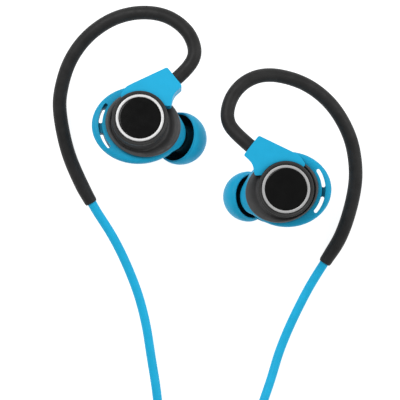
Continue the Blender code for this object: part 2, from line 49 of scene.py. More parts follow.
# --- Sizes of the frame's pieces, in millimetres ---
# An outline such as FLANGE is an ellipse: its middle's x and y, its half width and half height
CAP_RADIUS, CAP_HEIGHT = 7.0, 3.1
RING_OUTER, RING_INNER = 6.1, 5.3
BADGE_TOP = -0.02
FLANGE = (1.0, -0.3, 9.2, 8.0)
FLANGE_TURN = math.radians(-17)
TIP_CENTRE = Vector((8.7, -1.95, -12.85))
TIP_AXIS = Vector((0.66, -0.03, -0.75)).normalized()
TIP_RADIUS, TIP_LENGTH, TIP_BORE, TIP_STEM = 6.3, 7.5, 2.45, 3.3
NOZZLE_RADIUS, NOZZLE_BORE = 2.3, 1.5
NOZZLE_BASE, NOZZLE_END = -1.2, 5.2
WING = (-0.3, -0.05, 11.1, 9.45)
SLEEVE = (6.1, -1.8, 5.33, 5.33)
WING_TOP, WING_UNDER = -6.5, -9.3
SLOT_RING = (0.0, 0.0, 9.45, 8.9)
SLOT_WIDTH = 0.9
UPPER_SLOT, LOWER_SLOT = (149, 174), (195, 218)
FIN_CENTRE = (2.0, -0.6)
ARM_TOP, ARM_UNDER = -1.6, -6.2
HOOK_RADIUS = 1.74
HOOK_MOUTH = Vector((9.05, 10.85, -3.9))
HOOK_WAY = Vector((0.8, 0.6, 0.0))
HOOK_IN_ARM = 2.6
CORD_RADIUS = 1.15
COIL_CENTRE = Vector((-26.4, -87.0, 0.0))
COIL_TURNS = (10.0, 12.2, 14.4)  # radius of the inner, middle and outer turns
COIL_LAYERS = (1.15, 3.35)  # height of the lower and upper turns
POD_CENTRE = Vector((13.1, -92.0, 0.0))
POD_LENGTH, POD_WIDTH = 36.0, 9.4
POD_BASE_TOP, POD_TOP, POD_AXIS_HEIGHT = 3.9, 7.2, 3.4

# Where each earphone lies: the middle of its cap's face, and its lean about X in degrees. Then
# how its pieces differ: how much wider the shell flares, how far the fin and tip spread where the
# earphone leans on them, where the tip sits and how far its rim curls in, the ring's grey with painted
# light in it (lighter on the left ring, whose lean turns it towards the key light), how the slots lean
# with depth, and the degrees of sunk ledge before the upper slot.
LEFT = {"side": "left", "cap": (-17.0, 4.5, 19.35), "tilt": -13.0, "mirror": 1, "flare": 0.3,
        "spread": 1.05, "tip_shift": (0.1, 0.0, 0.0), "tip_curl": 0.0, "silver": 0.64,
        "slot_lean": (0.0, -0.08, 0.0), "slot_step": 6}
RIGHT = {"side": "right", "cap": (19.45, -13.3, 20.06), "tilt": 0.0, "mirror": -1, "flare": 0.0,
         "spread": 1.0, "tip_shift": (-0.1, 0.15, 0.0), "tip_curl": 0.35, "silver": 0.42,
         "slot_lean": (0.0, 0.0, 0.0), "slot_step": 0}

TAIL_HEIGHT = 1.75
HOOK_ROUTES = {
    "left": [
        (-4.1, 18.35), (-3.25, 21.1), (-4.9, 25.75), (-9.8, 29.7), (-16.2, 30.9), (-23.45, 29.4),
        (-30.1, 24.9), (-34.65, 18.55), (-36.95, 10.8), (-37.15, 6.6), (-35.15, -3.8),
        (-31.45, -12.65), (-29.2, -16.75)
    ],
    "right": [
        (5.3, 2.8), (4.8, 5.8), (5.9, 9.6), (8.2, 12.6), (11.5, 14.6), (16.0, 15.25), (24.05, 13.1),
        (30.7, 8.0), (35.45, -0.1), (36.98, -8.5), (36.3, -15.4), (33.3, -25.0), (29.2, -31.75)
    ],
}
CORD_ROUTES = {
    "neck_cord_left": [
        (-28.98, -16.95, 1.7), (-28.1, -18.55, 1.45), (-25.95, -21.85, 1.15),
        (-23.85, -25.25, 1.15), (-20.75, -31.4, 1.15), (-17.5, -39.7, 1.15), (-15.55, -47.25, 1.15),
        (-14.2, -55.7, 1.15), (-13.05, -62.85, 1.15), (-12.3, -70.0, 1.15), (-12.0, -78.4, 1.15)
    ],
    "neck_cord_lead": [
        (-12.0, -95.6, 2.9), (-11.9, -101.0, 1.7), (-10.8, -108.0, 1.2), (-6.5, -116.5, 1.15),
        (0.5, -121.8, 1.15), (7.5, -122.4, 1.4), (11.9, -119.4, 2.7), (13.1, -115.9, 3.4)
    ],
    "neck_cord_right": [
        (29.1, -31.85, 1.7), (27.5, -34.35, 1.35), (25.8, -37.15, 1.15), (24.15, -40.15, 1.15),
        (20.85, -46.85, 1.15), (17.98, -53.8, 1.15), (15.7, -61.15, 2.1), (13.3, -68.1, 3.4)
    ],
}

# --- Camera: straight down on the pair, from far off so that nearer pieces look no larger ---
VIEW_CENTRE, VIEW_WIDTH, VIEW_DISTANCE, VIEW_HEIGHT = (-2.0, -16.0), 100.0, 3000.0, 10.0


def linked(name, data):
    """A new object in the scene."""
    obj = bpy.data.objects.new(name, data)
    bpy.context.scene.collection.objects.link(obj)
    return obj


def camera():
    data = bpy.data.cameras.new("camera")
    data.sensor_width = 36.0
    data.lens = data.sensor_width * VIEW_DISTANCE / VIEW_WIDTH
    data.clip_start, data.clip_end = 0.05, 20.0
    obj = linked("camera", data)
    obj.location = Vector((*VIEW_CENTRE, VIEW_DISTANCE + VIEW_HEIGHT)) * MM
    bpy.context.scene.camera = obj


camera()


# --- Meshes ---
def piece(name, bm, body=BODY, place=None, frame_of=None, sharp=40):
    """Makes an object of a bmesh in millimetres, puts it in the row frame and lets it ride."""
    bmesh.ops.recalc_face_normals(bm, faces=bm.faces)
    matrix = place.copy() if place is not None else Matrix.Identity(4)
    if frame_of is not None:
        matrix = ear_matrix(frame_of) @ matrix
    bm.transform(Matrix.Scale(MM, 4) @ matrix)
    if matrix.determinant() < 0:
        bmesh.ops.reverse_faces(bm, faces=bm.faces)
    mesh = bpy.data.meshes.new(name)
    bm.to_mesh(mesh)
    bm.free()
    mesh.shade_smooth()
    if sharp:
        mesh.set_sharp_from_angle(angle=math.radians(sharp))
    obj = linked(name, mesh)
    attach(obj, body)
    return obj


def ear_matrix(ear):
    tilt = Matrix.Rotation(math.radians(ear["tilt"]), 4, "X")
    return Matrix.Translation(ear["cap"]) @ tilt @ Matrix.Diagonal((ear["mirror"], 1, 1, 1))


def loft(rings, closed=False, caps=True):
    bm = bmesh.new()
    made = [[bm.verts.new(point) for point in ring] for ring in rings]
    pairs = list(zip(made, made[1:]))
    if closed:
        pairs.append((made[-1], made[0]))
    for lower, upper in pairs:
        for i in range(len(lower)):
            j = (i + 1) % len(lower)
            bm.faces.new((lower[i], lower[j], upper[j], upper[i]))
    if caps and not closed:
        bm.faces.new(made[0])
        bm.faces.new(made[-1])
    return bm


def prism(outline, low, high, lean=Vector((0, 0, 0))):
    """An outline drawn out between two heights; it shifts by lean for each unit below the wing."""
    return loft([[p + lean * (WING_TOP - z) + Vector((0, 0, z)) for p in outline]
                 for z in (low, high)])


def joined(bm, other):
    """Adds another bmesh to bm."""
    mesh = bpy.data.meshes.new("part")
    other.to_mesh(mesh)
    other.free()
    bm.from_mesh(mesh)
    bpy.data.meshes.remove(mesh)
    return bm


def facing(way):
    return way.to_track_quat("Z", "Y").to_matrix().to_4x4()


def around(count):
    return [2 * math.pi * i / count for i in range(count)]


def turned(profile, segments=96, closed=False):
    rings = [[(r * math.cos(a), r * math.sin(a), z) for a in around(segments)] for r, z in profile]
    return loft(rings, closed)


def arc(centre, radius, start, end, steps=5):
    """Points of a profile's round corner, angles in degrees."""
    angles = [math.radians(start + (end - start) * i / steps) for i in range(steps + 1)]
    return [(centre[0] + radius * math.cos(a), centre[1] + radius * math.sin(a)) for a in angles]


def ellipse_ring(outline, height, segments=96, grow=0.0, turn=0.0):
    x, y, a, b = outline
    points = [Vector(((a + grow) * math.cos(t - turn), (b + grow) * math.sin(t - turn), height))
              for t in around(segments)]
    return [Matrix.Translation((x, y, 0)) @ Matrix.Rotation(turn, 4, "Z") @ p for p in points]


def tilted_ring(centre, axis, radius, segments=96):
    across = (Vector((1, 0, 0)) - axis * axis.x).normalized()
    side = (-axis).cross(across) if axis.z < 0 else axis.cross(across)
    return [centre + radius * (across * math.cos(t) + side * math.sin(t)) for t in around(segments)]


def fade(value, start, end):
    t = min(max((value - start) / (end - start), 0.0), 1.0)
    return t * t * (3 - 2 * t)


def smooth_curve(points, step):
    """Points about one step apart along a centripetal curve through the route's points."""
    knots = [Vector(p) for p in points]
    knots = [2 * knots[0] - knots[1]] + knots + [2 * knots[-1] - knots[-2]]
    line = []
    for p0, p1, p2, p3 in zip(knots, knots[1:], knots[2:], knots[3:]):
        count = max(1, round((p2 - p1).length / step))
        t1 = (p1 - p0).length ** 0.5
        t2 = t1 + (p2 - p1).length ** 0.5
        t3 = t2 + (p3 - p2).length ** 0.5
        for i in range(count):
            t = t1 + (t2 - t1) * i / count
            a1 = p0 + (p1 - p0) * (t / t1)
            a2 = p1 + (p2 - p1) * ((t - t1) / (t2 - t1))
            a3 = p2 + (p3 - p2) * ((t - t2) / (t3 - t2))
            b1 = a1 + (a2 - a1) * (t / t2)
            b2 = a2 + (a3 - a2) * ((t - t1) / (t3 - t1))
            line.append(b1 + (b2 - b1) * ((t - t1) / (t2 - t1)))
    line.append(knots[-2])
    return line


def evenly(line, step):
    """The same line with its points evenly spaced."""
    lengths = [0.0]
    for a, b in zip(line, line[1:]):
        lengths.append(lengths[-1] + (b - a).length)
    count = max(2, round(lengths[-1] / step))
    result, k = [], 0
    for i in range(count + 1):
        want = lengths[-1] * i / count
        while k < len(lengths) - 2 and lengths[k + 1] < want:
            k += 1
        span = lengths[k + 1] - lengths[k]
        result.append(line[k].lerp(line[k + 1], (want - lengths[k]) / span))
    return result


def softened(line, rounds):
    """The line with its small bends eased; its ends stay."""
    for _ in range(rounds):
        eased = [(a + 2 * b + c) / 4 for a, b, c in zip(line, line[1:], line[2:])]
        line = [line[0]] + eased + [line[-1]]
    return line


def tube_rings(line, radius, segments=32):
    rings, across = [], None
    for i, point in enumerate(line):
        ahead = (line[min(i + 1, len(line) - 1)] - line[max(i - 1, 0)]).normalized()
        if across is None:
            across = ahead.cross(Vector((0, 0, 1))).normalized()
        across = (across - ahead * across.dot(ahead)).normalized()
        up = ahead.cross(across)
        size = radius(i / (len(line) - 1)) if callable(radius) else radius
        rings.append([point + size * (across * math.cos(t) + up * math.sin(t))
                      for t in around(segments)])
    return rings


# --- Neck cord: its free runs, and the stored turns between them ---
def coil_path(step_degrees=6):
    """Five turns, clockwise: inwards along the table, up, and outwards again on top. Each move
    takes part of a turn, away from the moves before it, so that no turn cuts another."""
    inner, middle, outer = COIL_TURNS
    low, high = COIL_LAYERS
    moves = [(300, 355, outer, middle), (660, 715, middle, inner), (1270, 1325, inner, middle),
             (1630, 1685, middle, outer)]
    path = []
    for travelled in range(0, 1801, step_degrees):
        radius = outer
        for start, end, before, after in moves:
            radius += (after - before) * fade(travelled, start, end)
        height = low + (high - low) * fade(travelled, 970, 1030)
        angle = math.radians(-travelled)
        path.append(COIL_CENTRE + Vector((radius * math.cos(angle), radius * math.sin(angle), height)))
    return path


def cord_curve(name, path, material):
    curve = bpy.data.curves.new(name, "CURVE")
    curve.dimensions = "3D"
    curve.bevel_depth = CORD_RADIUS * MM
    curve.bevel_resolution = 7
    curve.use_fill_caps = True
    spline = curve.splines.new("POLY")
    spline.points.add(len(path) - 1)
    for point, place in zip(spline.points, path):
        point.co = (*(place * MM), 1.0)
    obj = linked(name, curve)
    curve.materials.append(material)
    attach(obj, BODY)
    return obj


def into(path, start_of=None, end_of=None):
    """The path with its ends carried on into the pieces that they meet."""
    path = list(path)
    if start_of is not None:
        path.insert(0, path[0] + (path[0] - path[1]).normalized() * start_of)
    if end_of is not None:
        path.append(path[-1] + (path[-1] - path[-2]).normalized() * end_of)
    return path


def neck_cord(material, keeper):
    """Two cords: one goes from the left hook through the stored turns to the pod, the other
    straight from the right hook to the pod."""
    left, lead, right = (smooth_curve(CORD_ROUTES[f"neck_cord_{run}"], 0.8)
                         for run in ("left", "lead", "right"))
    stored = into(left, start_of=1.4) + coil_path()[1:] + into(lead, end_of=0.7)
    stored = softened(stored, 4)
    short = into(right, start_of=1.2, end_of=0.8)
    left_cord = cord_curve("neck_cord_stored", evenly(stored, 0.9), material)
    right_cord = cord_curve("neck_cord_short", evenly(short, 0.8), material)
    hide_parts("neck_cord_left", "neck_cord_lead", "neck_cord_coil")
    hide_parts("neck_cord_right")


# --- Materials ---
class Nodes:
    """A material's node tree, with short calls for what the materials below share."""

    def __init__(self, name, colour, roughness, metallic=0.0):
        self.material = bpy.data.materials.new(name)
        self.material.use_nodes = True
        self.tree = self.material.node_tree
        self.shader = self.tree.nodes["Principled BSDF"]
        self.fix("Base Color", (*colour, 1.0))
        self.fix("Roughness", roughness)
        self.fix("Metallic", metallic)
        self.place = self.node("TexCoord").outputs["Object"]
        self.normal = None

    def node(self, kind, **sockets):
        """A new node with constants in its input sockets, their spaces written as _."""
        made = self.tree.nodes.new("ShaderNode" + kind)
        for socket, value in sockets.items():
            made.inputs[socket.replace("_", " ")].default_value = value
        return made

    def link(self, a, b):
        self.tree.links.new(a, b)

    def fix(self, socket, value):
        self.shader.inputs[socket].default_value = value

    def colour(self, tone):
        self.link(tone, self.shader.inputs["Base Color"])

    def roughness(self, pattern, low, high):
        self.link(self.ramp(pattern, low, high), self.shader.inputs["Roughness"])

    def noise(self, scale, detail=3.0, roughness=0.5, stretch=None):
        node = self.node("TexNoise", Scale=scale, Detail=detail, Roughness=roughness)
        source = self.place
        if stretch:
            mapping = self.node("Mapping", Scale=stretch)
            self.link(source, mapping.inputs["Vector"])
            source = mapping.outputs["Vector"]
        self.link(source, node.inputs["Vector"])
        return node.outputs["Fac"]

    def ramp(self, value, low, high, first=0.3, last=0.7):
        node = self.node("MapRange", From_Min=first, From_Max=last, To_Min=low, To_Max=high)
        self.link(value, node.inputs["Value"])
        return node.outputs["Result"]

    def mottled(self, pattern, colour, dark, light, edge=0.3):
        """From a darker to a lighter shade of the colour, as the pattern rises."""
        node = self.node("ValToRGB")
        steps = zip(node.color_ramp.elements, (edge, 1 - edge), (dark, light))
        for element, position, factor in steps:
            element.position = position
            element.color = (*shade(colour, factor), 1.0)
        self.link(pattern, node.inputs["Fac"])
        return node.outputs["Color"]

    def bump(self, height, strength, distance):
        node = self.node("Bump", Strength=strength, Distance=distance)
        self.link(height, node.inputs["Height"])
        if self.normal:
            self.link(self.normal, node.inputs["Normal"])
        self.normal = node.outputs["Normal"]
        self.link(self.normal, self.shader.inputs["Normal"])

    def mix(self, blend="MIX"):
        """The factor, first, second and result sockets of a new mix of two colours."""
        node = self.node("Mix")
        node.data_type, node.blend_type = "RGBA", blend
        return node.inputs["Factor"], node.inputs[6], node.inputs[7], node.outputs[2]

    def painted_hollow_shade(self, colour_socket, darkest, distance=0.0014):
        """Paints shade: darkens the colour in grooves and between parts, up to that many metres deep,
        where less light reaches.
        """
        hollow = self.node("AmbientOcclusion", Distance=distance)
        hollow.samples = 8
        shaded = self.ramp(hollow.outputs["AO"], darkest, 1.0, 0.2, 0.8)
        factor, first, second, result = self.mix("MULTIPLY")
        factor.default_value = 1.0
        self.link(colour_socket, first)
        self.link(shaded, second)
        return result

    def worn_edges(self, colour_socket, edge_colour, strength=0.5, low=0.52, high=0.6):
        """Mixes a lighter colour in where the surface turns sharply outwards."""
        geometry = self.node("NewGeometry")
        edge = self.ramp(geometry.outputs["Pointiness"], 0.0, strength, low, high)
        factor, first, second, result = self.mix()
        self.link(edge, factor)
        self.link(colour_socket, first)
        second.default_value = (*edge_colour, 1.0)
        return result


def shade(colour, factor):
    return tuple(min(1.0, c * factor) for c in colour)


def silicone(name, colour, roughness=0.42, mottle=0.05, grain=0.00002, soft=0.0):
    """Moulded silicone: faint cloudiness, a fine skin, a dusty haze and painted shade in its hollows.
    """
    m = Nodes(name, colour, roughness)
    tone = m.mottled(m.noise(260.0, 4.0, 0.55), colour, 1 - mottle, 1 + mottle)
    tone = m.worn_edges(tone, shade(colour, 1.25), 0.3, 0.54, 0.64)
    # Painted shade: the colour is darkened in grooves and between parts
    tone = m.painted_hollow_shade(tone, darkest=0.3)
    m.colour(tone)
    m.roughness(m.noise(900.0, 2.0), roughness - 0.06, roughness + 0.08)
    m.bump(m.noise(5200.0, 3.0, 0.6), 0.25, grain)
    m.bump(m.noise(420.0, 2.0), 0.2, grain * 4)
    m.fix("IOR", 1.25)
    m.fix("Specular IOR Level", 0.35)
    if soft:
        m.fix("Subsurface Weight", soft)
        m.fix("Subsurface Radius", (0.4, 0.8, 1.0))
        m.fix("Subsurface Scale", 0.0012)
    return m.material


def moulded(name, colour, roughness, grain=0.00003, scale=3800.0, mottle=0.08, rubbed=1.8):
    """Moulded plastic: a fine spark-eroded grain, lighter rubbed edges and painted shade in its
    hollows.
    """
    m = Nodes(name, colour, roughness)
    tone = m.mottled(m.noise(340.0, 4.0, 0.6), colour, 1 - mottle, 1 + mottle, edge=0.32)
    if rubbed:
        tone = m.worn_edges(tone, shade(colour, rubbed), 0.4)
    # Painted shade: the colour is darkened in grooves and between parts
    tone = m.painted_hollow_shade(tone, darkest=0.55)
    m.colour(tone)
    m.roughness(m.noise(700.0, 3.0), roughness - 0.07, roughness + 0.07)
    m.bump(m.noise(scale, 2.0, 0.5), 0.3, grain)
    m.fix("IOR", 1.25)
    m.fix("Specular IOR Level", 0.3)
    return m.material


# --- Earphone pieces ---
def smooth_rings(rings, spans):
    """More rings between the given ones, on a smooth curve through them."""
    result = []
    for k in range(len(rings) - 1):
        p0, p1, p2 = rings[max(k - 1, 0)], rings[k], rings[k + 1]
        p3 = rings[min(k + 2, len(rings) - 1)]
        for i in range(spans):
            t = i / spans
            w0, w1 = -0.5 * t + t * t - 0.5 * t ** 3, 1 - 2.5 * t * t + 1.5 * t ** 3
            w2, w3 = 0.5 * t + 2 * t * t - 1.5 * t ** 3, -0.5 * t * t + 0.5 * t ** 3
            result.append([a * w0 + b * w1 + c * w2 + d * w3 for a, b, c, d in zip(p0, p1, p2, p3)])
    result.append(rings[-1])
    return result


def finish_piece(obj, material, slot_name, *nodes):
    obj.data.materials.clear()
    obj.data.materials.append(material)
    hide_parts(*nodes)
    return obj


def badge(ear, looks):
    side = ear["side"]
    radius = RING_INNER
    crown = [(radius * t, BADGE_TOP - 0.01 * t ** 2) for t in (0.985, 0.9, 0.6, 0.3)]
    profile = [(radius, -0.8), (radius, BADGE_TOP - 0.07)] + crown
    obj = piece(f"{side}_badge_disc", turned(profile, 128), frame_of=ear, sharp=50)
    return finish_piece(obj, looks["badge"], "gloss_badge", f"{side}_badge")


def trim_ring(ear, looks):
    side = ear["side"]
    inner, outer, top = RING_INNER + 0.03, RING_OUTER - 0.06, 0.1
    profile = [(inner, -0.9)] + arc((inner + 0.16, top - 0.16), 0.16, 180, 90, 4)
    profile += [(0.5 * (inner + outer), top + 0.02)]
    profile += arc((outer - 0.2, top - 0.2), 0.2, 90, 0, 5) + [(outer, -0.9)]
    obj = piece(f"{side}_bezel_ring", turned(profile, 128, closed=True), frame_of=ear, sharp=60)
    return finish_piece(obj, looks["silver"], "silver_ring", f"{side}_trim_ring")


def outer_cap(ear, looks):
    """A cup with a rolled rim, a dark seat for the ring, and a fine joint line at its foot."""
    side = ear["side"]
    seat, rim, wall = RING_OUTER - 0.03, CAP_RADIUS, 0.9
    profile = [(seat, -1.0), (seat, -0.32), (seat + 0.12, -0.2), (seat + 0.3, -0.12)]
    profile += arc((rim - 0.34, -0.34), 0.34, 110, 0, 7)
    profile += [(rim, -1.2), (rim, -CAP_HEIGHT + 0.15), (rim - 0.1, -CAP_HEIGHT),
                (rim - wall, -CAP_HEIGHT), (rim - wall, -2.0)]
    obj = piece(f"{side}_cap_shell", turned(profile, 128), frame_of=ear, sharp=50)
    return finish_piece(obj, looks["cap"], "dark_shell", f"{side}_outer_cap")


# The housing, as outlines with their heights: its flare from the cap out, its foot from the flare
# down, and its hollow from the foot up
SHELL_RINGS = [
    ((0.0, 0.0, 6.9, 6.9), -3.3), ((0.0, 0.0, 6.85, 6.85), -4.3), ((0.02, 0.0, 6.95, 6.92), -5.0),
    ((0.1, -0.03, 7.15, 7.05), -5.3), ((0.22, -0.08, 7.4, 7.2), -5.33),
    ((0.45, -0.15, 7.75, 7.35), -5.05), ((0.65, -0.22, 8.15, 7.52), -4.84),
    ((0.85, -0.27, 8.6, 7.7), -4.82), ((0.97, -0.3, 9.0, 7.87), -5.08), (FLANGE, -5.5),
    ((1.0, -0.3, 9.12, 7.92), -5.88), ((1.0, -0.3, 8.8, 7.6), -6.1),
]
SHELL_FOOT = [((1.2, -0.2, 7.6, 6.9), -6.3), ((2.6, -0.8, 7.0, 6.2), -8.4),
              ((4.4, -1.2, 5.1, 4.9), -10.0)]
SHELL_HOLLOW = [((4.2, -1.0, 3.6, 3.4), -9.2), ((2.4, -0.7, 5.7, 5.0), -7.6),
                ((0.9, 0.0, 6.0, 5.9), -5.6), ((0.0, 0.0, 5.9, 5.9), -3.3)]


def flare_rings(ear, rings, grow=0.0, lift=0.0):
    """Rings of the flared rim; the left one flares a little wider."""
    made = []
    for (x, y, a, b), height in rings:
        more = ear["flare"] * fade(a, 7.0, 8.9)
        outline = (x - 0.7 * more, y, a + more, b + more)
        made.append(ellipse_ring(outline, height + lift, grow=grow, turn=FLANGE_TURN))
    return smooth_rings(made, 4)


def rear_shell(ear, looks):
    """The flared housing: a shallow valley round the cap, a rolled rim, a foot that draws in to
    the nozzle, and the nozzle with its barb. Its inside is hollow."""
    side = ear["side"]
    flare = flare_rings(ear, SHELL_RINGS)
    foot = [ellipse_ring(outline, height) for outline, height in SHELL_FOOT]
    foot.append(tilted_ring(TIP_CENTRE + TIP_AXIS * NOZZLE_BASE, TIP_AXIS, NOZZLE_RADIUS + 0.2))
    foot = smooth_rings(foot, 4)
    end = NOZZLE_END
    nozzle = [(NOZZLE_BASE + 0.4, NOZZLE_RADIUS), (end - 2.4, NOZZLE_RADIUS),
              (end - 2.0, NOZZLE_RADIUS - 0.25), (end - 1.4, NOZZLE_RADIUS - 0.25),
              (end - 1.1, NOZZLE_RADIUS + 0.04), (end - 0.7, NOZZLE_RADIUS + 0.04),
              (end - 0.1, NOZZLE_RADIUS - 0.3), (end - 0.05, NOZZLE_BORE + 0.15),
              (end - 0.2, NOZZLE_BORE), (NOZZLE_BASE - 2.0, NOZZLE_BORE)]
    nozzle = [tilted_ring(TIP_CENTRE + TIP_AXIS * along, TIP_AXIS, r) for along, r in nozzle]
    hollow = [ellipse_ring(outline, height) for outline, height in SHELL_HOLLOW]
    bm = loft(flare + foot + nozzle + hollow, closed=True)
    obj = piece(f"{side}_housing", bm, frame_of=ear, sharp=45)
    return finish_piece(obj, looks["shell"], "dark_shell", f"{side}_rear_shell")


def along_tip(distance=0.0):
    return Matrix.Translation(TIP_CENTRE + TIP_AXIS * distance) @ facing(TIP_AXIS)


def nozzle_screen(ear, looks):
    """A woven steel screen in a thin rim, across the nozzle's mouth."""
    side = ear["side"]
    radius, wire, pitch, steps = NOZZLE_BORE - 0.12, 0.055, 0.26, 24
    bm = turned([(radius - 0.1, 0.0), (radius + 0.1, 0.0), (radius + 0.1, 0.18),
                 (radius - 0.1, 0.18)], 48, closed=True)
    count = int(radius / pitch)
    for across in (0, 1):
        for k in range(-count, count + 1):
            half = math.sqrt(radius ** 2 - (k * pitch) ** 2)
            line = []
            for i in range(steps + 1):
                s = -half + 2 * half * i / steps
                wave = 0.06 * math.cos(math.pi * s / pitch) * (1 if (k + across) % 2 else -1)
                point = (s, k * pitch) if across else (k * pitch, s)
                line.append(Vector((*point, 0.09 + wave)))
            joined(bm, loft(tube_rings(line, wire, 6)))
    obj = piece(f"{side}_nozzle_screen", bm, place=along_tip(NOZZLE_END - 0.65), frame_of=ear)
    return finish_piece(obj, looks["steel"], "steel", f"{side}_nozzle_mesh")


def spread(amount):
    """Scales across, and leaves heights alone."""
    return Matrix.Diagonal((amount, amount, 1, 1))


TIP_WALL = 0.55
BELLY, SKIRT = 1.0, 4.2  # height of the dome's widest ring, and the skirt's depth


def ear_tip(ear, looks):
    """A thin dome that turns in over its nose and hangs open at the back, its rim curled in a little,
    and in it a core painted near black as the shade inside the skirt: the stem that grips the nozzle,
    with a dark sheet lining the dome's inside."""
    side = ear["side"]
    radius, length, wall = TIP_RADIUS, TIP_LENGTH, TIP_WALL

    def shell(degrees, inset=0.0):
        """A point of the dome's section; below 0 degrees the skirt curls back in."""
        angle = math.radians(degrees)
        curl = (0.02 + ear["tip_curl"]) * (max(-degrees, 0) / 20) ** 2
        rise = length - BELLY - inset if degrees > 0 else SKIRT
        return ((radius - inset) * math.cos(angle) ** 0.96 - curl, BELLY + rise * math.sin(angle))

    low = radius - ear["tip_curl"]
    rim = [(low - 0.42, -0.36), (low - 0.34, -0.44), (low - 0.22, -0.4)]
    outside = [shell(d) for d in range(-18, 66, 6)]
    nose = [(2.95, length - 0.68), (2.75, length - 0.55), (2.58, length - 0.6),
            (TIP_BORE, length - 0.8), (TIP_BORE, 5.3), (3.5, 5.2)]
    inside = [shell(d, wall - 0.2 * fade(-d, -20, 16)) for d in range(42, -19, -6)]
    dome = turned(rim + outside + nose + inside, 112, closed=True)
    stem = [(TIP_BORE + 0.1, 0.3), (TIP_STEM - 0.15, 0.3), (TIP_STEM, 0.45), (TIP_STEM, 3.9),
            (TIP_STEM + 0.15, 4.3)]
    # The lining is a sheet just inside the dome, painted near black as the shade in the skirt
    shade_lining = [shell(d, wall + 0.14) for d in (38, 30, 22, 14, 6, 0, -8)]
    shade_lining += [shell(d, wall + 0.01) for d in (-10, -4, 4, 12, 20, 28, 36, 41)]
    bore = [(TIP_BORE, 5.15), (TIP_BORE, 4.4), (TIP_BORE - 0.12, 4.1), (TIP_BORE - 0.12, 3.8),
            (TIP_BORE, 3.5), (TIP_BORE, 0.45)]
    core = turned(stem + shade_lining + bore, 112, closed=True)
    at = Matrix.Translation(ear["tip_shift"]) @ spread(ear["spread"]) @ along_tip()
    # The core's near-black colour is painted shade for the shadowed inside of the tip
    for name, bm, look, slot_name in (("dome", dome, "silicone_tip", "blue_silicone"),
                                      ("core", core, "core", "black_rubber")):
        obj = piece(f"{side}_tip_{name}", bm, f"{side}_tip", place=at, frame_of=ear, sharp=60)
        finish_piece(obj, looks[look], slot_name, f"{side}_ear_tip")


def reach(outline, angle, turn=0.0):
    """Distance from the fin's centre to an ellipse, in one direction."""
    x, y, a, b = outline
    start = Matrix.Rotation(-turn, 2) @ Vector((FIN_CENTRE[0] - x, FIN_CENTRE[1] - y))
    dx, dy = math.cos(angle - turn) / a, math.sin(angle - turn) / b
    ox, oy = start.x / a, start.y / b
    square, half = dx * dx + dy * dy, ox * dx + oy * dy
    return (math.sqrt(half * half - square * (ox * ox + oy * oy - 1)) - half) / square


def cutter(name, bm, frame_of=None, at=None):
    """A hidden piece that carve() takes out of another one."""
    obj = piece(name, bm, frame_of=frame_of, place=at, sharp=0)
    obj.hide_render = obj.hide_viewport = True
    return obj


def slot_cutter(name, ear, span, low, high, rounded=True):
    """A bent bar along the fin's slot ring between two angles, leaning as the slots do."""
    x, y, a, b = SLOT_RING
    half, steps = SLOT_WIDTH / 2, 28
    centres, outs = [], []
    for i in range(steps + 1):
        t = math.radians(span[0] + (span[1] - span[0]) * i / steps)
        centres.append(Vector((x + a * math.cos(t), y + b * math.sin(t), 0)))
        outs.append(Vector((math.cos(t) / a, math.sin(t) / b, 0)).normalized())
    outline = [c + o * half for c, o in zip(centres, outs)]
    outline += end_cap(centres[-1], outs[-1], centres[-1] - centres[-2], half) if rounded else []
    outline += [c - o * half for c, o in zip(reversed(centres), reversed(outs))]
    outline += end_cap(centres[0], -outs[0], centres[0] - centres[1], half) if rounded else []
    bm = prism(outline, low, high, Vector(ear["slot_lean"]))
    return cutter(name, bm, ear, spread(ear["spread"]))


def end_cap(centre, out, ahead, half):
    """The points of a slot's round end."""
    ahead = ahead.normalized()
    angles = [math.radians(d) for d in range(20, 180, 20)]
    return [centre + half * (out * math.cos(a) + ahead * math.sin(a)) for a in angles]


def carve(obj, *cutters, width=0.12, segments=3):
    """Cuts the pieces out of obj and rounds the cut edges."""
    for tool in cutters:
        modifier = obj.modifiers.new(tool.name, "BOOLEAN")
        modifier.object = tool
        modifier.solver = "EXACT"
    if width:
        modifier = obj.modifiers.new("rounding", "BEVEL")
        modifier.width = width * MM
        modifier.segments = segments
        modifier.limit_method = "ANGLE"
        modifier.angle_limit = math.radians(50)
        modifier.harden_normals = True
    depsgraph = bpy.context.evaluated_depsgraph_get()
    mesh = bpy.data.meshes.new_from_object(obj.evaluated_get(depsgraph))
    obj.modifiers.clear()
    obj.data = mesh
    for tool in cutters:
        bpy.data.objects.remove(tool, do_unlink=True)
    return obj


def larger(a, b, width):
    """The larger of two numbers, with a smooth change from one to the other."""
    near = max(width - abs(a - b), 0) / width
    return max(a, b) + 0.25 * width * near ** 2


